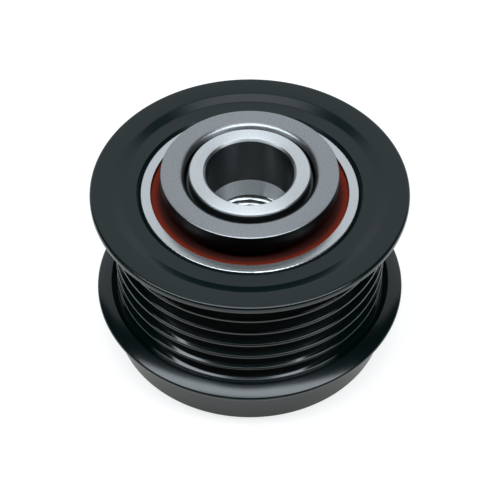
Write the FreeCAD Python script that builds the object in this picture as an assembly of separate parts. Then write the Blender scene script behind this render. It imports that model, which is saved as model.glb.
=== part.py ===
import FreeCAD, Part
import math
import os

from FreeCAD import Vector

# Overrunning alternator pulley, in millimetres.
# Z runs along the axis. The front end of the ribbed sheave is at z = 0 and the
# alternator side, with the hub's nose, points up. All pieces lie round the Z axis.

# Hub sleeve, from the shaft outwards
shaft_bore_radius = 8.5
shaft_bore_depth = 10.95
shaft_bore_chamfer = 0.44
cone_length = 2.95
cone_step = 1.31
thread_depth = 0.81
thread_length = 12.0
hub_wall = 4.0
hub_nose_step = 0.8
hub_nose_length = 2.4
hub_nose_chamfer = 0.3
hub_front_setback = 4.0
hub_front_chamfer = 0.5
tool_socket_wall = 1.9
tool_tooth_count = 33
tool_tooth_height = 0.6
tool_mouth_chamfer = 0.9
tool_relief_width = 1.2
tool_relief_margin = 0.1

# Ball bearings, alike at both ends
bearing_section = 8.5
rear_bearing_setback = 1.1
front_bearing_setback = 5.0
ring_wall = 1.82
track_depth = 0.78
ring_corner_round = 0.2
ball_count = 11
ball_cage_land_gap = 0.45
ball_cage_back = 0.37
ball_cage_prong_rise = 1.3
ball_cage_slot_width = 1.8
ball_cage_slot_floor = 1.2
seal_recess_step = 0.76
seal_setback = 0.8
seal_thickness = 0.7
seal_bead_width = 0.55
seal_lip_width = 0.75
seal_lip_taper = 0.25

# One-way roller clutch between the bearings
roller_count = 8
roller_end_chamfer = 0.2
wedge_angle = 8.0
race_wall = 2.05
cam_wall = 2.2155
cam_corner_trim = 0.12
cage_end_ring_share = 0.122
cage_wall_inner_margin = 0.25
cage_wall_outer_margin = 0.35
cage_bar_angle = 18.0
roller_back_angle = 2.2
spring_strip = 0.2
spring_ramp_gap = 0.17
spring_width_share = 0.645
spring_height_share = 0.95

# Flinger disc on the hub's nose
flinger_width = 4.6
flinger_thickness = 4.0
flinger_nose_setback = 0.3
flinger_foot_width = 2.1
flinger_foot_height = 1.0
flinger_bore_round = 1.4
flinger_edge_round = 0.3

# Ribbed sheave
rib_pitch = 3.56
groove_count = 7
groove_half_angle = 20.0
rib_crest_width = 0.62
groove_root_round = 0.4
groove_root_wall = 2.3206
rib_crest_round = 0.25
flange_height = 4.15
rear_flange_width = 1.9
rear_rim_width = 1.4
rear_rim_face = 5.2
rear_rim_inner_round = 3.0
rear_face_dish = 0.35
rear_recess_depth = 0.95
rear_recess_ramp = 2.0
rear_recess_round = 2.0
rear_mouth_chamfer = 0.79
rim_top_round = 0.6
rim_base_round = 0.3
front_rim_width = 0.7
front_channel_depth = 0.45
front_channel_width = 1.3
front_channel_round = 0.1
front_shoulder_rise = 0.65
front_shoulder_round = 0.4
front_crown_fall = 0.4
front_crown_round = 4.8
front_rim_fall = 0.75
front_rim_face = 1.35
skirt_wall = 6.44
skirt_length = 9.8
skirt_flange_round = 0.8
cap_recess_step = 0.99
cap_groove_height = 0.8
cap_groove_width = 1.0
cap_groove_setback = 2.0
edge_chamfer = 0.4

# Clearances
seat_gap = 0.01
ball_gap = 0.05
ball_pocket_gap = 0.1
ball_cage_seal_gap = 0.25
seal_bead_gap = 0.02
seal_lip_gap = 0.05
roller_gap = 0.05
cam_gap = 0.02
roller_end_gap = 0.1
clutch_end_gap = 0.1
clutch_cage_end_gap = 0.3
spring_gap = 0.04

# Radii that follow, from the shaft outwards
thread_minor_radius = shaft_bore_radius - cone_step
bearing_bore_radius = shaft_bore_radius + hub_wall
hub_seat_radius = bearing_bore_radius - seat_gap
hub_nose_radius = bearing_bore_radius - hub_nose_step
tool_tooth_root_radius = bearing_bore_radius - tool_socket_wall
tool_tooth_tip_radius = tool_tooth_root_radius - tool_tooth_height
bearing_outer_radius = bearing_bore_radius + bearing_section
ball_pitch_radius = bearing_bore_radius + bearing_section / 2
ball_radius = bearing_section / 2 - ring_wall - ball_gap
inner_land_radius = ball_pitch_radius - ball_radius - ball_gap + track_depth
outer_land_radius = ball_pitch_radius + ball_radius + ball_gap - track_depth
seal_recess_radius = outer_land_radius + seal_recess_step
bore_seat_radius = bearing_outer_radius + seat_gap
groove_top_width = rib_pitch - rib_crest_width
groove_half_tangent = math.tan(math.radians(groove_half_angle))
groove_root_lift = groove_root_round / math.sin(math.radians(groove_half_angle)) - groove_root_round
groove_apex_radius = bore_seat_radius + groove_root_wall - groove_root_lift
rib_crest_radius = groove_apex_radius + groove_top_width / 2 / groove_half_tangent
flange_radius = rib_crest_radius + flange_height
rear_recess_radius = flange_radius - rear_rim_face
skirt_radius = bore_seat_radius + skirt_wall
cap_recess_radius = bore_seat_radius + cap_recess_step

# Radii of the clutch: each roller meets its flat at the wedge angle
clutch_race_radius = bearing_outer_radius - race_wall
cam_flat_radius = bearing_bore_radius + cam_wall
cam_corner_radius = cam_flat_radius / math.cos(math.pi / roller_count) - cam_corner_trim
wedge_cosine = math.cos(math.radians(wedge_angle))
roller_room = (clutch_race_radius - roller_gap) * wedge_cosine - cam_gap - cam_flat_radius
roller_radius = roller_room / (1 + wedge_cosine)
roller_pitch_radius = clutch_race_radius - roller_gap - roller_radius

# Heights that follow, from the front end at z = 0
grooves_height = (groove_count - 1) * rib_pitch + groove_top_width
front_flange_height = front_rim_width + front_rim_fall + front_crown_fall - front_shoulder_rise
sheave_width = skirt_length + front_flange_height + grooves_height + rear_flange_width
first_groove_height = sheave_width - rear_flange_width - groove_top_width / 2
last_groove_height = first_groove_height - (groove_count - 1) * rib_pitch
bearing_width = 2 * (ball_radius + ball_cage_back + ball_cage_seal_gap + seal_thickness + seal_setback)
rear_bearing_base = sheave_width - rear_bearing_setback - bearing_width
front_bearing_base = front_bearing_setback
clutch_base = front_bearing_base + bearing_width + clutch_end_gap
clutch_top = rear_bearing_base - clutch_end_gap
flinger_foot_base = rear_bearing_base + bearing_width
flinger_underside = flinger_foot_base + flinger_foot_height
flinger_top = flinger_underside + flinger_thickness
hub_base = hub_front_setback
hub_top = flinger_top + flinger_nose_setback

axis = Vector(0, 0, 1)
centre = Vector(0, 0, 0)


def rounded_wire(corners):
    """Closed wire in the XZ plane through (radius, height, corner round) points."""
    points = [Vector(corner[0], 0, corner[1]) for corner in corners]
    rounds = [corner[2] if len(corner) > 2 else 0.0 for corner in corners]
    starts = []
    ends = []
    arcs = []
    for index, point in enumerate(points):
        before = points[index - 1] - point
        after = points[(index + 1) % len(points)] - point
        half_angle = before.getAngle(after) / 2
        if rounds[index] == 0.0:
            starts.append(point)
            ends.append(point)
            arcs.append(None)
            continue
        reach = rounds[index] / math.tan(half_angle)
        reach = min(reach, 0.48 * before.Length, 0.48 * after.Length)
        fitted = reach * math.tan(half_angle)
        before.normalize()
        after.normalize()
        towards = before + after
        towards.normalize()
        start = point + before * reach
        end = point + after * reach
        middle = point + towards * (fitted / math.sin(half_angle) - fitted)
        starts.append(start)
        ends.append(end)
        arcs.append(Part.Arc(start, middle, end).toShape())
    edges = []
    for index in range(len(points)):
        if arcs[index] is not None:
            edges.append(arcs[index])
        following = starts[(index + 1) % len(points)]
        edges.append(Part.LineSegment(ends[index], following).toShape())
    return Part.Wire(edges)


def turned(corners):
    """Solid of revolution round the Z axis."""
    return Part.Face(rounded_wire(corners)).revolve(centre, axis, 360)


def tube(inner_radius, outer_radius, base, top):
    corners = [(inner_radius, base), (outer_radius, base), (outer_radius, top), (inner_radius, top)]
    return turned(corners)


def sector(inner_radius, outer_radius, base, top, start_angle, end_angle):
    """Piece of a tube between two angles in degrees."""
    corners = [(inner_radius, base), (outer_radius, base), (outer_radius, top), (inner_radius, top)]
    piece = Part.Face(rounded_wire(corners)).revolve(centre, axis, end_angle - start_angle)
    piece.rotate(centre, axis, start_angle)
    return piece


def polar(radius, angle, height=0.0):
    turn = math.radians(angle)
    return Vector(radius * math.cos(turn), radius * math.sin(turn), height)


def sheave():
    """Turned steel body: two flanges, belt grooves, skirt and the bore for the bearings."""
    last_groove_edge = last_groove_height - groove_top_width / 2
    channel_radius = rib_crest_radius + front_channel_width
    front_shoulder = last_groove_edge + front_shoulder_rise
    front_rim_top = front_shoulder - front_crown_fall - front_rim_fall
    front_rim_base = front_rim_top - front_rim_width
    recess_floor = sheave_width - rear_recess_depth
    groove_base = cap_groove_setback
    corners = [
        (cap_recess_radius + edge_chamfer, 0),
        (cap_recess_radius, edge_chamfer),
        (cap_recess_radius, groove_base),
        (cap_recess_radius + cap_groove_height, groove_base),
        (cap_recess_radius + cap_groove_height, groove_base + cap_groove_width),
        (cap_recess_radius, groove_base + cap_groove_width),
        (cap_recess_radius, front_bearing_base),
        (bore_seat_radius + edge_chamfer, front_bearing_base),
        (bore_seat_radius, front_bearing_base + edge_chamfer),
        (bore_seat_radius, recess_floor - rear_mouth_chamfer),
        (bore_seat_radius + rear_mouth_chamfer, recess_floor),
        (rear_recess_radius - rear_recess_ramp / 2, recess_floor, rear_recess_round),
        (rear_recess_radius + rear_recess_ramp / 2, sheave_width - rear_face_dish, rear_rim_inner_round),
        (flange_radius, sheave_width, rim_top_round),
        (flange_radius, sheave_width - rear_rim_width, rim_base_round),
    ]
    for index in range(groove_count):
        groove_height = first_groove_height - index * rib_pitch
        corners.append((rib_crest_radius, groove_height + groove_top_width / 2, rib_crest_round))
        corners.append((groove_apex_radius, groove_height, groove_root_round))
        corners.append((rib_crest_radius, groove_height - groove_top_width / 2, rib_crest_round))
    corners += [
        (rib_crest_radius, last_groove_edge - front_channel_depth, front_channel_round),
        (channel_radius, front_shoulder, front_shoulder_round),
        (flange_radius - front_rim_face, front_shoulder - front_crown_fall, front_crown_round),
        (flange_radius, front_rim_top, rim_top_round),
        (flange_radius, front_rim_base, rim_base_round),
        (skirt_radius, front_rim_base - rim_base_round, skirt_flange_round),
        (skirt_radius, edge_chamfer),
        (skirt_radius - edge_chamfer, 0),
    ]
    return turned(corners)


def tool_serrations(base, top):
    """Star-shaped prism that cuts the wrench teeth into the hub's front bore."""
    crest_radius = tool_tooth_tip_radius - tool_relief_margin
    points = []
    for index in range(tool_tooth_count):
        tooth_angle = 360 * index / tool_tooth_count
        points.append(polar(tool_tooth_root_radius, tooth_angle, base))
        points.append(polar(crest_radius, tooth_angle + 180 / tool_tooth_count, base))
    points.append(points[0])
    star = Part.Face(Part.makePolygon(points))
    return star.extrude(Vector(0, 0, top - base))


def hub_sleeve():
    """Inner sleeve: shaft bore, threaded bore and the toothed wrench socket at the front."""
    cone_top = hub_top - shaft_bore_depth
    thread_top = cone_top - cone_length
    socket_floor = thread_top - thread_length
    relief_base = socket_floor - tool_relief_width
    relief_radius = tool_tooth_root_radius + tool_relief_margin
    nose_base = hub_top - hub_nose_length
    shoulder_chamfer = (hub_seat_radius - hub_nose_radius) / 2
    body = turned([
        (tool_tooth_tip_radius + tool_mouth_chamfer, hub_base),
        (tool_tooth_tip_radius, hub_base + tool_mouth_chamfer),
        (tool_tooth_tip_radius, relief_base),
        (relief_radius, relief_base),
        (relief_radius, socket_floor),
        (thread_minor_radius + thread_depth, socket_floor),
        (thread_minor_radius, socket_floor + thread_depth),
        (thread_minor_radius, thread_top),
        (shaft_bore_radius, cone_top),
        (shaft_bore_radius, hub_top - shaft_bore_chamfer),
        (shaft_bore_radius + shaft_bore_chamfer, hub_top),
        (hub_nose_radius - hub_nose_chamfer, hub_top),
        (hub_nose_radius, hub_top - hub_nose_chamfer),
        (hub_nose_radius, nose_base),
        (hub_seat_radius - shoulder_chamfer, nose_base),
        (hub_seat_radius, nose_base - shoulder_chamfer),
        (hub_seat_radius, hub_base + hub_front_chamfer),
        (hub_seat_radius - hub_front_chamfer, hub_base),
    ])
    return body.cut(tool_serrations(hub_base, relief_base + tool_relief_width / 2))


def flinger_disc():
    """Thick washer that stands on the rear bearing's inner ring and shields the seal."""
    foot_radius = bearing_bore_radius + flinger_foot_width
    flinger_radius = bearing_bore_radius + flinger_width
    return turned([
        (bearing_bore_radius, flinger_foot_base),
        (foot_radius, flinger_foot_base),
        (foot_radius, flinger_underside),
        (flinger_radius, flinger_underside, flinger_edge_round),
        (flinger_radius, flinger_top, flinger_edge_round),
        (bearing_bore_radius, flinger_top, flinger_bore_round),
    ])


def ball_track(base):
    """Round channel that both bearing rings share, a running gap larger than the balls."""
    return Part.makeTorus(ball_pitch_radius, ball_radius + ball_gap, Vector(0, 0, base + bearing_width / 2), axis)


def bearing_outer_ring(base):
    top = base + bearing_width
    recess = seal_setback + seal_thickness
    ring = turned([
        (outer_land_radius, base + recess),
        (seal_recess_radius, base + recess),
        (seal_recess_radius, base),
        (bearing_outer_radius, base, ring_corner_round),
        (bearing_outer_radius, top, ring_corner_round),
        (seal_recess_radius, top),
        (seal_recess_radius, top - recess),
        (outer_land_radius, top - recess),
    ])
    return ring.cut(ball_track(base))


def bearing_inner_ring(base):
    top = base + bearing_width
    ring = turned([
        (bearing_bore_radius, base, ring_corner_round),
        (inner_land_radius, base),
        (inner_land_radius, top),
        (bearing_bore_radius, top, ring_corner_round),
    ])
    return ring.cut(ball_track(base))


def bearing_seal(base, side):
    """Moulded seal in the outer ring; side is 1 for the upper face and -1 for the lower."""
    middle = base + bearing_width / 2
    face = bearing_width / 2 - seal_setback
    inner_face = face - seal_thickness
    edge_radius = seal_recess_radius - seal_bead_gap
    lip_radius = inner_land_radius + seal_lip_gap
    section = [
        (edge_radius, inner_face),
        (edge_radius, face - seal_lip_taper / 2),
        (edge_radius - seal_lip_taper / 2, face),
        (lip_radius + seal_lip_width, face),
        (lip_radius, face - seal_lip_taper),
        (lip_radius, inner_face + seal_lip_taper),
        (lip_radius + seal_lip_width, inner_face + seal_lip_taper / 2),
        (edge_radius - seal_bead_width, inner_face + seal_lip_taper / 2),
        (edge_radius - seal_bead_width, inner_face),
    ]
    return turned([(radius, middle + side * height) for radius, height in section])


def ball_positions(base):
    height = base + bearing_width / 2
    return [polar(ball_pitch_radius, 360 * index / ball_count, height) for index in range(ball_count)]


def ball_cage(base):
    """Crown-shaped snap cage: a ring with a round pocket for each ball and slots between."""
    middle = base + bearing_width / 2
    back = middle - ball_radius - ball_cage_back
    top = middle + ball_cage_prong_rise
    inner_radius = inner_land_radius + ball_cage_land_gap
    outer_radius = outer_land_radius - ball_cage_land_gap
    cage = tube(inner_radius, outer_radius, back, top)
    pockets = []
    for place in ball_positions(base):
        pockets.append(Part.makeSphere(ball_radius + ball_pocket_gap, place))
    slot_half_angle = math.degrees(ball_cage_slot_width / 2 / ball_pitch_radius)
    for index in range(ball_count):
        slot_angle = 360 * (index + 0.5) / ball_count
        slot = sector(inner_radius - ball_gap, outer_radius + ball_gap, back + ball_cage_slot_floor,
                      top + ball_gap, slot_angle - slot_half_angle, slot_angle + slot_half_angle)
        pockets.append(slot)
    return cage.cut(pockets)


def cam_ring():
    """Ring with one flat ramp for each roller."""
    points = []
    for index in range(roller_count + 1):
        corner_angle = 360 * (index + 0.5) / roller_count
        points.append(polar(cam_flat_radius / math.cos(math.pi / roller_count), corner_angle, clutch_base))
    block = Part.Face(Part.makePolygon(points)).extrude(Vector(0, 0, clutch_top - clutch_base))
    return block.common(tube(bearing_bore_radius, cam_corner_radius, clutch_base, clutch_top))


def clutch_outer_race():
    return turned([
        (clutch_race_radius, clutch_base),
        (bearing_outer_radius, clutch_base, ring_corner_round),
        (bearing_outer_radius, clutch_top, ring_corner_round),
        (clutch_race_radius, clutch_top),
    ])


cage_base = clutch_base + clutch_cage_end_gap
cage_top = clutch_top - clutch_cage_end_gap
window_base = cage_base + cage_end_ring_share * (cage_top - cage_base)
window_top = cage_top - cage_end_ring_share * (cage_top - cage_base)
roller_half_angle = math.degrees(math.asin(roller_radius / roller_pitch_radius))
window_end_angle = wedge_angle + roller_half_angle + roller_back_angle
window_start_angle = window_end_angle - 360 / roller_count + cage_bar_angle


def clutch_cage():
    """Cage with a window for each roller and its spring."""
    inner_radius = cam_corner_radius + cage_wall_inner_margin
    outer_radius = clutch_race_radius - cage_wall_outer_margin
    cage = tube(inner_radius, outer_radius, cage_base, cage_top)
    windows = []
    for index in range(roller_count):
        ramp_angle = 360 * index / roller_count
        window = sector(inner_radius - roller_gap, outer_radius + roller_gap, window_base, window_top,
                        ramp_angle + window_start_angle, ramp_angle + window_end_angle)
        windows.append(window)
    return cage.cut(windows)


def clutch_roller(index):
    """Roller at the start of its ramp, a running gap from the race and the flat."""
    base = window_base + roller_end_gap
    top = window_top - roller_end_gap
    roller = turned([
        (0, base),
        (roller_radius, base, roller_end_chamfer),
        (roller_radius, top, roller_end_chamfer),
        (0, top),
    ])
    roller.translate(polar(roller_pitch_radius, 360 * index / roller_count + wedge_angle))
    return roller


def clutch_spring(index):
    """Folded leaf spring between a cage bar and the back of a roller."""
    ramp_angle = 360 * index / roller_count
    roller_turn = math.radians(wedge_angle - window_start_angle)
    roller_side = roller_pitch_radius * math.sin(roller_turn) - roller_radius
    left = spring_gap + spring_strip / 2
    right = roller_side - spring_gap - spring_strip / 2
    low = cam_flat_radius / math.cos(math.radians(window_start_angle)) + spring_ramp_gap
    high = low + roller_radius * spring_height_share
    spring_width = (window_top - window_base) * spring_width_share
    path = [Vector(high, left, 0), Vector(low, left, 0), Vector(high, right, 0), Vector(low, right, 0)]
    strips = []
    for start, end in zip(path, path[1:]):
        along = end - start
        across = along.cross(axis)
        across.normalize()
        across = across * (spring_strip / 2)
        corners = [start + across, end + across, end - across, start - across, start + across]
        strips.append(Part.Face(Part.makePolygon(corners)).extrude(Vector(0, 0, spring_width)))
    bends = [Part.makeCylinder(spring_strip / 2, spring_width, point) for point in path]
    spring = strips[0].fuse(strips[1:] + bends).removeSplitter()
    spring.translate(Vector(0, 0, (window_base + window_top - spring_width) / 2))
    spring.rotate(centre, axis, ramp_angle + window_start_angle)
    return spring


def pieces():
    """Name and solid of every separate piece."""
    yield "sheave", sheave()
    yield "hub_sleeve", hub_sleeve()
    yield "flinger_disc", flinger_disc()
    yield "clutch_outer_race", clutch_outer_race()
    yield "clutch_cam_ring", cam_ring()
    yield "clutch_cage", clutch_cage()
    for index in range(roller_count):
        yield f"clutch_roller_{index + 1}", clutch_roller(index)
        yield f"clutch_spring_{index + 1}", clutch_spring(index)
    for end, base in (("rear", rear_bearing_base), ("front", front_bearing_base)):
        outward = 1 if end == "rear" else -1
        yield f"{end}_bearing_outer_ring", bearing_outer_ring(base)
        yield f"{end}_bearing_inner_ring", bearing_inner_ring(base)
        yield f"{end}_bearing_ball_cage", ball_cage(base)
        yield f"{end}_bearing_outside_seal", bearing_seal(base, outward)
        yield f"{end}_bearing_inside_seal", bearing_seal(base, -outward)
        for index, place in enumerate(ball_positions(base)):
            yield f"{end}_bearing_ball_{index + 1}", Part.makeSphere(ball_radius, place)


os.makedirs("parts", exist_ok=True)
for name, solid in pieces():
    if len(solid.Solids) == 1:
        solid = solid.Solids[0]
    print(name, solid.ShapeType, solid.isValid(), round(solid.Volume, 2))
    solid.exportStep(f"parts/{name}.step")
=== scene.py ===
import math

import bpy
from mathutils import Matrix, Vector


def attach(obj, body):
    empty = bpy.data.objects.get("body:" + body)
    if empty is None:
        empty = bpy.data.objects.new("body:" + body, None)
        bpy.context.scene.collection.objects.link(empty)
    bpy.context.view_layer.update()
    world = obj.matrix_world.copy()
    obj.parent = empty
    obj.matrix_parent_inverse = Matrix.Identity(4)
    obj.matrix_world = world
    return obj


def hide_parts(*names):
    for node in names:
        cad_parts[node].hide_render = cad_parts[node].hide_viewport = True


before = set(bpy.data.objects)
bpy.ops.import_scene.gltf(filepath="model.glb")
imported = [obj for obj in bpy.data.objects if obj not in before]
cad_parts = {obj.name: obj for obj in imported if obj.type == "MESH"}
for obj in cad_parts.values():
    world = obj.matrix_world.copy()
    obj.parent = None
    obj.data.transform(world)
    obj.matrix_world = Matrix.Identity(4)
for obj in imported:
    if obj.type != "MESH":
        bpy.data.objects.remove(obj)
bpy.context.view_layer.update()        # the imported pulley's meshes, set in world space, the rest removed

mm = 0.001               # the pulley's sizes are in millimetres, and the studio's in metres


def linear(hexColour):
    # sRGB hex to linear red, green, blue and alpha, by the curve of the sRGB standard
    channels = [int(hexColour[i:i + 2], 16) / 255 for i in (1, 3, 5)]
    return [c / 12.92 if c <= 0.04045 else ((c + 0.055) / 1.055) ** 2.4 for c in channels] + [1.0]


def feed(tree, node, inputs):
    # links what comes from another node, and sets what is a plain value
    for key, value in inputs.items():
        if isinstance(value, bpy.types.NodeSocket):
            tree.links.new(value, node.inputs[key])
        else:
            node.inputs[key].default_value = value


def addNode(tree, kind, inputs=None, **settings):
    node = tree.nodes.new(kind)
    for key, value in settings.items():
        setattr(node, key, value)
    feed(tree, node, inputs or {})
    return node


def newMaterial(name):
    material = bpy.data.materials.new(name)
    material.use_nodes = True
    tree = material.node_tree
    return material, tree, tree.nodes["Principled BSDF"]


# camera: the photograph's viewpoint, on the -Y side looking down at the hub
cameraView = {
    "elevation": 47.64,       # degrees above the floor
    "distance": 359.3,        # mm, to the point on the axis that it looks at
    "targetHeight": 22.01,    # mm
    "lens": 135.3,
    "sensorWidth": 36.0,
    "shiftX": -0.0171,        # the pulley stands a little right of the middle
    "clipStart": 0.01,        # metres
    "clipEnd": 20.0,          # metres
}


def addCamera(view):
    data = bpy.data.cameras.new("camera")
    data.sensor_width = view["sensorWidth"]
    data.lens = view["lens"]
    data.shift_x = view["shiftX"]
    data.clip_start = view["clipStart"]
    data.clip_end = view["clipEnd"]
    camera = bpy.data.objects.new("camera", data)
    bpy.context.scene.collection.objects.link(camera)
    tilt = math.radians(view["elevation"])
    reach = view["distance"] * mm
    camera.location = (0, -reach * math.cos(tilt), view["targetHeight"] * mm + reach * math.sin(tilt))
    camera.rotation_euler = (math.pi / 2 - tilt, 0, 0)
    bpy.context.scene.camera = camera


addCamera(cameraView)
print("camera set")


# studio: a white floor in a dim room, under three soft boxes
studio = {
    "roomColour": "#2a2c2e",
    "roomStrength": 0.3,
    "floorSize": 4.0,
    "floorColour": "#a8a8a6",
    "floorRoughness": 0.9,
    "floorGlow": 0.76,        # lit from inside, so that shadows on it stay faint
}

# each box shines from its place to its aim, and turns by so many degrees about the vertical
softBoxes = {
    "keyBox": {               # long, narrow and bright, above the pulley's near side
        "size": (1.2, 0.21), "place": (-0.01, -0.153, 0.64), "aim": (-0.01, 0, 0.02), "turn": -6,
        "power": 6.0, "tint": "#eef8ff",
    },
    "topBox": {               # small and soft, above its far side
        "size": (0.26, 0.36), "place": (0.0, 0.13, 0.70), "aim": (0, 0.13, 0), "turn": 0,
        "power": 0.48, "tint": "#f4faff",
    },
    "backWall": {             # a tall pale wall of light, which the level faces mirror
        "size": (3.2, 2.0), "place": (0.0, 1.15, 1.02), "aim": (0, 0, 1.02), "turn": 0,
        "power": 14.4, "tint": "#f0f8ff",
    },
}


def addSoftBox(name, box):
    data = bpy.data.lights.new(name, "AREA")
    data.shape = "RECTANGLE"
    data.size, data.size_y = box["size"]
    data.energy = box["power"]
    data.color = linear(box["tint"])[:3]
    light = bpy.data.objects.new(name, data)
    bpy.context.scene.collection.objects.link(light)
    light.location = box["place"]
    toAim = Vector(box["aim"]) - Vector(box["place"])
    light.rotation_euler = toAim.to_track_quat("-Z", "Y").to_euler()
    light.rotation_euler.z += math.radians(box["turn"])


def addFloor():
    half = studio["floorSize"] / 2
    mesh = bpy.data.meshes.new("floor")
    mesh.from_pydata([(-half, -half, 0), (half, -half, 0), (half, half, 0), (-half, half, 0)], [], [(0, 1, 2, 3)])
    floor = bpy.data.objects.new("floor", mesh)
    bpy.context.scene.collection.objects.link(floor)
    # opal acrylic, lit from below: an even pale glow without shine
    material, tree, shader = newMaterial("white acrylic table")
    feed(tree, shader, {
        "Base Color": linear(studio["floorColour"]), "Roughness": studio["floorRoughness"],
        "Specular IOR Level": 0.0,
        "Emission Color": linear("#ffffff"), "Emission Strength": studio["floorGlow"],
    })
    mesh.materials.append(material)


def addStudio():
    world = bpy.data.worlds.new("studio room")
    world.use_nodes = True
    background = world.node_tree.nodes["Background"]
    feed(world.node_tree, background, {"Color": linear(studio["roomColour"]), "Strength": studio["roomStrength"]})
    bpy.context.scene.world = world
    for name, box in softBoxes.items():
        addSoftBox(name, box)
    addFloor()
    bpy.context.scene.view_settings.view_transform = "Standard"


addStudio()
print("studio lit")


# every turned piece starts as a section: corners of (radius, height, edge round)
cornerShare = 0.48            # a round takes at most this share of each side, so that two never meet


def roundCorners(corners, arcSteps=5):
    points = []
    count = len(corners)
    for i, corner in enumerate(corners):
        here = Vector(corner[:2])
        edgeRound = corner[2] if len(corner) > 2 else 0.0
        if edgeRound == 0.0:
            points.append((here.x, here.y))
            continue
        before = Vector(corners[i - 1][:2]) - here
        after = Vector(corners[(i + 1) % count][:2]) - here
        half = before.angle(after) / 2
        reach = min(edgeRound / math.tan(half), cornerShare * before.length, cornerShare * after.length)
        fitted = reach * math.tan(half)
        middle = here + (before.normalized() + after.normalized()).normalized() * (fitted / math.sin(half))
        start = here + before.normalized() * reach - middle
        end = here + after.normalized() * reach - middle
        sweep = start.angle(end)
        turn = 1 if start.x * end.y - start.y * end.x > 0 else -1
        for step in range(arcSteps + 1):
            angle = turn * sweep * step / arcSteps
            points.append((middle.x + start.x * math.cos(angle) - start.y * math.sin(angle),
                           middle.y + start.x * math.sin(angle) + start.y * math.cos(angle)))
    return points


def turnedMesh(name, section, segments, radiusAt=None, sharpAngle=28):
    # sweeps a closed section round the axis; radiusAt(radius, height, angle) may shape it
    verts = []
    for radius, height in section:
        for s in range(segments):
            angle = 2 * math.pi * s / segments
            r = radiusAt(radius, height, angle) if radiusAt else radius
            verts.append((r * mm * math.cos(angle), r * mm * math.sin(angle), height * mm))
    faces = []
    rows = len(section)
    for row in range(rows):
        below = row * segments
        above = (row + 1) % rows * segments
        for s in range(segments):
            t = (s + 1) % segments
            faces.append((below + s, below + t, above + t, above + s))
    mesh = bpy.data.meshes.new(name)
    mesh.from_pydata(verts, [], faces)
    mesh.polygons.foreach_set("use_smooth", [True] * len(faces))
    mesh.set_sharp_from_angle(angle=math.radians(sharpAngle))
    piece = bpy.data.objects.new(name, mesh)
    bpy.context.scene.collection.objects.link(piece)
    return piece


def dress(piece, material, body, slot, *nodes):
    piece.data.materials.clear()
    piece.data.materials.append(material)
    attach(piece, body)
    if nodes:
        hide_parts(*nodes)


# patterns that the finishes share
ringNoise = {"Detail": 2.0, "Roughness": 0.6}      # two finer layers, because a tool's marks are uneven
faceRange = (0.6, 0.95)       # how far a normal points along the axis where walls end, and where end faces begin
mixA, mixB, mixResult = 6, 7, 2      # a colour mix's sockets, whose names aren't unique


def axisPlace(tree):
    # a point's place on the pulley, its distance from the axis and its height
    place = addNode(tree, "ShaderNodeTexCoord").outputs["Object"]
    parts = addNode(tree, "ShaderNodeSeparateXYZ", {0: place})
    flat = addNode(tree, "ShaderNodeCombineXYZ", {"X": parts.outputs["X"], "Y": parts.outputs["Y"]})
    radius = addNode(tree, "ShaderNodeVectorMath", {0: flat.outputs[0]}, operation="LENGTH")
    return place, radius.outputs["Value"], parts.outputs["Z"]


def ringPattern(tree, radius, height, spacing):
    # noise that changes with radius and height only, so it makes rings round the axis
    ring = addNode(tree, "ShaderNodeCombineXYZ", {"X": radius, "Z": height})
    noise = {"Vector": ring.outputs[0], "Scale": 1 / (spacing * mm), **ringNoise}
    return addNode(tree, "ShaderNodeTexNoise", noise).outputs["Fac"]


def endFace(tree):
    # 1 on faces that look along the axis, 0 on walls that look away from it
    wallEnd, faceStart = faceRange
    normal = addNode(tree, "ShaderNodeTexCoord").outputs["Normal"]
    parts = addNode(tree, "ShaderNodeSeparateXYZ", {0: normal})
    upright = addNode(tree, "ShaderNodeMath", {0: parts.outputs["Z"]}, operation="ABSOLUTE")
    face = {"Value": upright.outputs[0], "From Min": wallEnd, "From Max": faceStart}
    return addNode(tree, "ShaderNodeMapRange", face).outputs["Result"]


def heightBand(tree, height, band):
    # 1 between two heights, 0 elsewhere
    low, high = band
    near = {0: height, 1: (low + high) / 2 * mm, 2: (high - low) / 2 * mm}
    return addNode(tree, "ShaderNodeMath", near, operation="COMPARE").outputs[0]


def addGrain(tree, shader, amount):
    # the tangent runs round the axis; a quarter turn of it spreads highlights across the tool's rings
    around = addNode(tree, "ShaderNodeTangent", direction_type="RADIAL", axis="Z")
    feed(tree, shader, {
        "Anisotropic": amount, "Anisotropic Rotation": 1 / 4, "Tangent": around.outputs["Tangent"],
    })


# black e-coat on turned steel: a smooth satin black, a little green, with each highlight drawn out radially by the
# tool's rings under it
blackCoatLook = {
    "colour": "#061414",
    "ior": 1.5,
    "roughness": 0.19,
    "grooveRoughness": 0.07,  # the belt grooves are form-rolled, smoother than turned faces
    "grooveRadius": 27.0,     # mm, the grooves lie inside this radius
    "grooveTop": 35.4,        # mm, and below this height
    "grain": 0.4,             # how far highlights are drawn out across the rings, 0 to 1
    "ringSpacing": 0.35,      # mm between tool marks, coarser than real so that they show
    "ringDepth": 0.0006,      # mm
    "peelSize": 0.6,          # mm, the coat's orange peel
    "peelDepth": 0.0006,      # mm
}


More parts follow.
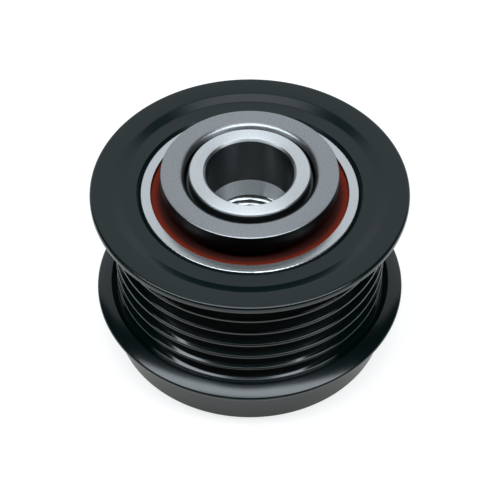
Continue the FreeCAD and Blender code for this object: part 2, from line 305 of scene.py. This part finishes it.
def blackCoat():
    look = blackCoatLook
    material, tree, shader = newMaterial("black e-coat on turned steel")
    place, radius, height = axisPlace(tree)
    rings = ringPattern(tree, radius, height, look["ringSpacing"])
    peel = addNode(tree, "ShaderNodeTexNoise", {"Vector": place, "Scale": 1 / (look["peelSize"] * mm)})
    ringBump = addNode(tree, "ShaderNodeBump", {"Height": rings, "Distance": look["ringDepth"] * mm})
    bump = addNode(tree, "ShaderNodeBump", {
        "Height": peel.outputs["Fac"], "Distance": look["peelDepth"] * mm, "Normal": ringBump.outputs["Normal"],
    })
    inside = addNode(tree, "ShaderNodeMath", {0: radius, 1: look["grooveRadius"] * mm}, operation="LESS_THAN")
    below = addNode(tree, "ShaderNodeMath", {0: height, 1: look["grooveTop"] * mm}, operation="LESS_THAN")
    groove = addNode(tree, "ShaderNodeMath", {0: inside.outputs[0], 1: below.outputs[0]}, operation="MULTIPLY")
    rough = addNode(tree, "ShaderNodeMapRange", {
        "Value": groove.outputs[0], "To Min": look["roughness"], "To Max": look["grooveRoughness"],
    })
    feed(tree, shader, {
        "Base Color": linear(look["colour"]), "IOR": look["ior"],
        "Roughness": rough.outputs["Result"], "Normal": bump.outputs["Normal"],
    })
    addGrain(tree, shader, look["grain"])
    return material


# steels: metal keeps its default IOR, and a wall differs from an end face in roughness and in a painted shade that
# darkens its colour. Spacings and depths are in mm; the marks are coarser than real so that they show, and mottle is
# the share of light that the specks take
steelLooks = {
    "turned hub steel": {                # pale and nearly matt, the brightest metal here
        "colour": "#f0f2f3", "roughness": 0.42,
        # painted shade: the bore's and the nose's walls are darkened
        "shadedWallColour": "#5c6061", "wallRoughness": 0.34,
        "unshaded": (27.5, 30.4),           # mm, the cone's heights, whose wall gets a painted highlight: it is painted as bright as an end face
        "paintedShade": (38.5, 39.1),            # mm, the shoulder under the disc, an end face painted as dark as a wall: painted shade where the disc shadows it
        "grain": 0.6, "ringSpacing": 0.16, "ringDepth": 0.002,
        "speckDepth": 0.003, "mottle": 0.12,
    },
    "phosphated washer steel": {         # mid grey, softly mottled, with walls painted nearly black as painted shade
        "colour": "#b3b5b7", "roughness": 0.28,
        "shadedWallColour": "#0b0c0d", "wallRoughness": 0.4,
        "grain": 0.3, "ringSpacing": 0.25, "ringDepth": 0.0008,
        "speckDepth": 0.006, "mottle": 0.25,
    },
    "ground bearing steel": {            # a clean silver ring
        "colour": "#e2e4e5", "roughness": 0.26,
        # painted shade: the walls' colour is darkened
        "shadedWallColour": "#6e7173", "wallRoughness": 0.45,
        "grain": 0.3, "ringSpacing": 0.12, "ringDepth": 0.0005,
        "speckDepth": 0.0005, "mottle": 0.05,
    },
    "polished ball steel": {             # mirror bright
        "colour": "#d2d4d6", "roughness": 0.08,
        "shadedWallColour": "#d2d4d6", "wallRoughness": 0.08,
        "grain": 0.0, "ringSpacing": 0.5, "ringDepth": 0.0002,
        "speckDepth": 0.0, "mottle": 0.0,
    },
    "spring strip steel": {              # cold-rolled strip, a little warm and dull
        "colour": "#b8b6b0", "roughness": 0.3,
        "shadedWallColour": "#b8b6b0", "wallRoughness": 0.3,
        "grain": 0.0, "ringSpacing": 0.3, "ringDepth": 0.001,
        "speckDepth": 0.0, "mottle": 0.0,
    },
}
speckSize = 0.3               # mm, pits of the tumbled skin, coarser than real so that they show
speckRange = (0.3, 0.7)       # the stretch of the speck noise that mottles the colour


def steel(name):
    look = steelLooks[name]
    material, tree, shader = newMaterial(name)
    place, radius, height = axisPlace(tree)
    rings = ringPattern(tree, radius, height, look["ringSpacing"])
    face = endFace(tree)
    # a painted highlight: the cone band lifts the painted wall shade, so the cone's wall takes the end face's colour
    if "unshaded" in look:
        unshaded = heightBand(tree, height, look["unshaded"])
        face = addNode(tree, "ShaderNodeMath", {0: face, 1: unshaded}, operation="MAXIMUM").outputs[0]
    # painted shade: the shoulder band gives that end face the darker shaded wall colour
    if "paintedShade" in look:
        paintedShade = heightBand(tree, height, look["paintedShade"])
        face = addNode(tree, "ShaderNodeMath", {0: face, 1: paintedShade}, operation="SUBTRACT", use_clamp=True).outputs[0]
    # walls take the darker shaded wall colour, a painted shade standing in for the shade that falls on them
    plain = addNode(tree, "ShaderNodeMix", {
        "Factor": face, mixA: linear(look["shadedWallColour"]), mixB: linear(look["colour"]),
    }, data_type="RGBA")
    rough = addNode(tree, "ShaderNodeMapRange", {
        "Value": face, "To Min": look["wallRoughness"], "To Max": look["roughness"],
    })
    specks = addNode(tree, "ShaderNodeTexNoise", {"Vector": place, "Scale": 1 / (speckSize * mm)}).outputs["Fac"]
    shade = addNode(tree, "ShaderNodeMapRange", {
        "Value": specks, "From Min": speckRange[0], "From Max": speckRange[1],
        "To Min": 1 - look["mottle"], "To Max": 1.0,
    })
    colour = addNode(tree, "ShaderNodeMix", {
        "Factor": 1.0, mixA: plain.outputs[mixResult], mixB: shade.outputs["Result"],
    }, data_type="RGBA", blend_type="MULTIPLY")
    ringBump = addNode(tree, "ShaderNodeBump", {"Height": rings, "Distance": look["ringDepth"] * mm})
    bump = addNode(tree, "ShaderNodeBump", {
        "Height": specks, "Distance": look["speckDepth"] * mm, "Normal": ringBump.outputs["Normal"],
    })
    feed(tree, shader, {
        "Metallic": 1.0, "Base Color": colour.outputs[mixResult],
        "Roughness": rough.outputs["Result"], "Normal": bump.outputs["Normal"],
    })
    if look["grain"] > 0:
        addGrain(tree, shader, look["grain"])
    return material


# moulded nitrile rubber: a dull red-brown, with a painted shadow of the disc that darkens it towards the bore
sealLook = {
    "colour": "#7a220a",
    # the colour of the painted shadow near the disc
    "shadowColour": "#33100a",
    "fullShadowRadius": 17.3,        # mm, the painted shadow is full inside this radius
    "unshadedRadius": 18.7,      # mm, and the painted shadow ends outside this one
    "roughness": 0.65,
    "shine": 0.15,            # specular level, low for a faint sheen
    "grainSize": 0.25,        # mm, the mould's blasted grain, coarser than real so that it shows
    "grainDepth": 0.01,       # mm
}


def sealRubber():
    look = sealLook
    material, tree, shader = newMaterial("moulded nitrile rubber")
    place, radius, _ = axisPlace(tree)
    # painted shadow of the disc: the colour darkens from the outer edge towards the bore
    unshaded = addNode(tree, "ShaderNodeMapRange", {
        "Value": radius, "From Min": look["fullShadowRadius"] * mm, "From Max": look["unshadedRadius"] * mm,
    })
    colour = addNode(tree, "ShaderNodeMix", {
        "Factor": unshaded.outputs["Result"], mixA: linear(look["shadowColour"]), mixB: linear(look["colour"]),
    }, data_type="RGBA")
    grain = addNode(tree, "ShaderNodeTexNoise", {"Vector": place, "Scale": 1 / (look["grainSize"] * mm)})
    bump = addNode(tree, "ShaderNodeBump", {"Height": grain.outputs["Fac"], "Distance": look["grainDepth"] * mm})
    feed(tree, shader, {
        "Base Color": colour.outputs[mixResult], "Roughness": look["roughness"],
        "Specular IOR Level": look["shine"], "Normal": bump.outputs["Normal"],
    })
    return material


# moulded glass-filled polyamide, natural cream: half dull and slightly cloudy
resinLook = {
    "darkColour": "#b9ae8a",
    "paleColour": "#d2c8a6",
    "cloudSize": 1.5,         # mm
    "roughness": 0.45,
}


def cageResin():
    look = resinLook
    material, tree, shader = newMaterial("moulded polyamide")
    place = addNode(tree, "ShaderNodeTexCoord").outputs["Object"]
    cloud = addNode(tree, "ShaderNodeTexNoise", {"Vector": place, "Scale": 1 / (look["cloudSize"] * mm)})
    tint = addNode(tree, "ShaderNodeValToRGB", {"Fac": cloud.outputs["Fac"]})
    dark, pale = tint.color_ramp.elements
    dark.color = linear(look["darkColour"])
    pale.color = linear(look["paleColour"])
    feed(tree, shader, {"Base Color": tint.outputs["Color"], "Roughness": look["roughness"]})
    return material


coat = blackCoat()
hubSteel = steel("turned hub steel")
washerSteel = steel("phosphated washer steel")
ringSteel = steel("ground bearing steel")
ballSteel = steel("polished ball steel")
springSteel = steel("spring strip steel")
rubber = sealRubber()
resin = cageResin()
print("materials made")


# ribbed sheave: two flanges, seven belt grooves and a skirt
sheaveShape = {
    "width": 37.2, "flange": 30.75, "segments": 288,      # length on the axis, and both flanges' radius

    # belt grooves, whose angle is that of one flank
    "grooves": 7, "pitch": 3.56, "grooveWidth": 2.94, "grooveAngle": 20.0,
    "crest": 26.6, "crestRound": 0.35, "rootRound": 0.4,

    # rear flange: a thin rim, a slight dish, and a ramp down to the recess round the bearing
    "rearFlange": 1.9, "rearRim": 1.4, "rimTopRound": 0.6, "rimBaseRound": 0.3, "rimInnerRound": 3.0,
    "dish": 0.35, "recess": 25.55, "recessDepth": 0.95, "recessRamp": 2.0, "recessRound": 2.0,

    # front flange: a channel beside the last groove, a shoulder, a crowned slope and a thin rim
    "channelDepth": 0.45, "channelWidth": 1.3, "channelRound": 0.1,
    "shoulderRise": 0.72, "shoulderRound": 0.4, "crownFall": 0.56, "crownRound": 11.0,
    "rimFall": 0.66, "rimFace": 1.35, "lowRimRound": 0.5, "frontRim": 0.7,

    # skirt, the dust cap's seat with its groove, and the bearings' seat
    "skirt": 27.45, "skirtRound": 0.8, "chamfer": 0.4,
    "capRecess": 22.0, "capGroove": 0.8, "capGrooveWidth": 1.0, "capGrooveIn": 2.0,
    "bearingIn": 5.0, "seat": 21.01, "mouthChamfer": 0.79,
}


def sheaveSection(s):
    apex = s["crest"] - s["grooveWidth"] / 2 / math.tan(math.radians(s["grooveAngle"]))
    first = s["width"] - s["rearFlange"] - s["grooveWidth"] / 2
    lastEdge = first - (s["grooves"] - 1) * s["pitch"] - s["grooveWidth"] / 2
    shoulder = lastEdge + s["shoulderRise"]
    rimTop = shoulder - s["crownFall"] - s["rimFall"]
    rimBase = rimTop - s["frontRim"]
    floor = s["width"] - s["recessDepth"]
    slope = s["recessRamp"] / 2
    capGrooveEnd = s["capGrooveIn"] + s["capGrooveWidth"]
    capGrooveRadius = s["capRecess"] + s["capGroove"]
    corners = [
        (s["capRecess"] + s["chamfer"], 0), (s["capRecess"], s["chamfer"]),
        (s["capRecess"], s["capGrooveIn"]), (capGrooveRadius, s["capGrooveIn"]),
        (capGrooveRadius, capGrooveEnd), (s["capRecess"], capGrooveEnd),
        (s["capRecess"], s["bearingIn"]), (s["seat"] + s["chamfer"], s["bearingIn"]),
        (s["seat"], s["bearingIn"] + s["chamfer"]), (s["seat"], floor - s["mouthChamfer"]),
        (s["seat"] + s["mouthChamfer"], floor), (s["recess"] - slope, floor, s["recessRound"]),
        (s["recess"] + slope, s["width"] - s["dish"], s["rimInnerRound"]),
        (s["flange"], s["width"], s["rimTopRound"]),
        (s["flange"], s["width"] - s["rearRim"], s["rimBaseRound"]),
    ]
    for groove in range(s["grooves"]):
        height = first - groove * s["pitch"]
        corners += [
            (s["crest"], height + s["grooveWidth"] / 2, s["crestRound"]),
            (apex, height, s["rootRound"]),
            (s["crest"], height - s["grooveWidth"] / 2, s["crestRound"]),
        ]
    corners += [
        (s["crest"], lastEdge - s["channelDepth"], s["channelRound"]),
        (s["crest"] + s["channelWidth"], shoulder, s["shoulderRound"]),
        (s["flange"] - s["rimFace"], shoulder - s["crownFall"], s["crownRound"]),
        (s["flange"], rimTop, s["lowRimRound"]), (s["flange"], rimBase, s["rimBaseRound"]),
        (s["skirt"], rimBase - s["rimBaseRound"], s["skirtRound"]), (s["skirt"], s["chamfer"]),
        (s["skirt"] - s["chamfer"], 0),
    ]
    return roundCorners(corners)


sheave = turnedMesh("ribbedSheave", sheaveSection(sheaveShape), sheaveShape["segments"])
dress(sheave, coat, "sheave", "black_coating", "sheave")
print("sheave turned")


# hub sleeve: shaft bore, cone, M16 x 1.5 thread and toothed wrench socket
hubShape = {
    "top": 41.4, "base": 4.0, "segments": 264,            # eight steps round each tooth

    # outside: the bearings' seat, and the nose that stands in the disc
    "seat": 12.49, "frontChamfer": 0.5, "nose": 11.7, "noseLength": 2.4, "noseChamfer": 0.3, "edgeRound": 0.08,

    # shaft bore, and the cone down to the thread
    "bore": 8.5, "boreDepth": 10.95, "boreChamfer": 0.44, "coneLength": 2.95,

    # thread: half the flat at its root, and one flank's length along the axis
    "threadMinor": 7.19, "threadDepth": 0.81, "threadLength": 12.0, "threadPitch": 1.5,
    "threadFlat": 0.09, "threadFlank": 0.47, "threadRows": 120,

    # wrench socket, with a turned relief at its end
    "teeth": 33, "toothTip": 10.0, "toothHeight": 0.6, "mouthChamfer": 0.9, "relief": 1.2, "reliefMargin": 0.1,
    "hair": 0.01,             # keeps the teeth's last row just clear of the relief
}


def hubHeights(h):
    coneTop = h["top"] - h["boreDepth"]
    threadTop = coneTop - h["coneLength"]
    floor = threadTop - h["threadLength"]
    reliefBase = floor - h["relief"]
    return coneTop, threadTop, floor, reliefBase


def hubSection(h):
    coneTop, threadTop, floor, reliefBase = hubHeights(h)
    threadBase = floor + h["threadDepth"]
    reliefRadius = h["toothTip"] + h["toothHeight"] + h["reliefMargin"]
    noseBase = h["top"] - h["noseLength"]
    shoulder = (h["seat"] - h["nose"]) / 2
    corners = [
        (h["toothTip"] + h["mouthChamfer"], h["base"]), (h["toothTip"], h["base"] + h["mouthChamfer"]),
        (h["toothTip"], reliefBase - h["hair"]), (reliefRadius, reliefBase), (reliefRadius, floor),
        (h["threadMinor"] + h["threadDepth"], floor), (h["threadMinor"], threadBase),
    ]
    for row in range(1, h["threadRows"]):
        corners.append((h["threadMinor"], threadBase + (threadTop - threadBase) * row / h["threadRows"]))
    corners += [
        (h["threadMinor"], threadTop), (h["bore"], coneTop), (h["bore"], h["top"] - h["boreChamfer"]),
        (h["bore"] + h["boreChamfer"], h["top"], h["edgeRound"]),
        (h["nose"] - h["noseChamfer"], h["top"], h["edgeRound"]),
        (h["nose"], h["top"] - h["noseChamfer"], h["edgeRound"]), (h["nose"], noseBase),
        (h["seat"] - shoulder, noseBase), (h["seat"], noseBase - shoulder),
        (h["seat"], h["base"] + h["frontChamfer"]), (h["seat"] - h["frontChamfer"], h["base"]),
    ]
    return roundCorners(corners, arcSteps=3)


def hubRadius(radius, height, angle):
    # cuts the socket's teeth and the thread's turns into the plain section
    h = hubShape
    _, threadTop, floor, reliefBase = hubHeights(h)
    turns = angle / (2 * math.pi)
    if height < reliefBase - h["hair"] / 2 and radius < h["seat"] - h["frontChamfer"] - h["hair"]:
        phase = (turns * h["teeth"]) % 1.0
        rise = abs(2 * phase - 1)                       # 1 at a root, 0 at a tooth's tip
        star = h["toothTip"] - h["reliefMargin"] + (h["toothHeight"] + h["reliefMargin"]) * rise
        return max(radius, star)
    if floor + h["threadDepth"] <= height <= threadTop and radius <= h["threadMinor"] + h["hair"] / 2:
        phase = (height / h["threadPitch"] - turns) % 1.0
        fromRoot = abs(2 * phase - 1) * h["threadPitch"] / 2
        flank = min(1.0, max(0.0, (fromRoot - h["threadFlat"]) / h["threadFlank"]))
        return radius + h["threadDepth"] * (1 - flank)
    return radius


hub = turnedMesh("hubSleeve", hubSection(hubShape), hubShape["segments"], hubRadius, sharpAngle=20)
dress(hub, hubSteel, "hub", "hub_steel", "hub_sleeve")
print("hub turned, thread cut")


# flinger disc: the thick washer over the seal, countersunk at its bore, with a foot on the bearing's inner ring
discShape = {
    "bore": 12.5, "radius": 17.1, "top": 41.1, "thickness": 4.0, "edgeRound": 0.3,
    "foot": 14.6, "footBase": 36.1,
    "sinkWidth": 0.8, "sinkDepth": 0.8, "sinkRound": 1.5,
    "segments": 256,
}


def discSection(d):
    underside = d["top"] - d["thickness"]
    return roundCorners([
        (d["bore"], d["footBase"]), (d["foot"], d["footBase"]), (d["foot"], underside),
        (d["radius"], underside, d["edgeRound"]), (d["radius"], d["top"], d["edgeRound"]),
        (d["bore"] + d["sinkWidth"], d["top"], d["sinkRound"]), (d["bore"], d["top"] - d["sinkDepth"]),
    ])


disc = turnedMesh("flingerDisc", discSection(discShape), discShape["segments"])
dress(disc, washerSteel, "hub", "disc_steel", "flinger_disc")
print("disc turned")


# the pieces that keep their solids get their finish by the first word here that is in their name
finishes = {
    "outer_ring": ringSteel, "inner_ring": ringSteel, "cam_ring": ringSteel, "outer_race": ringSteel,
    "seal": rubber, "cage": resin, "ball": ballSteel, "roller": ballSteel, "spring": springSteel,
}


def finishOf(node):
    for word, material in finishes.items():
        if word in node:
            return material
    return coat


for nodeName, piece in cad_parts.items():
    if piece.hide_render:     # a turned piece above stands in for it
        continue
    material = finishOf(nodeName)
    if piece.material_slots:
        for materialSlot in piece.material_slots:
            materialSlot.material = material
    else:
        piece.data.materials.append(material)
print("solids finished")
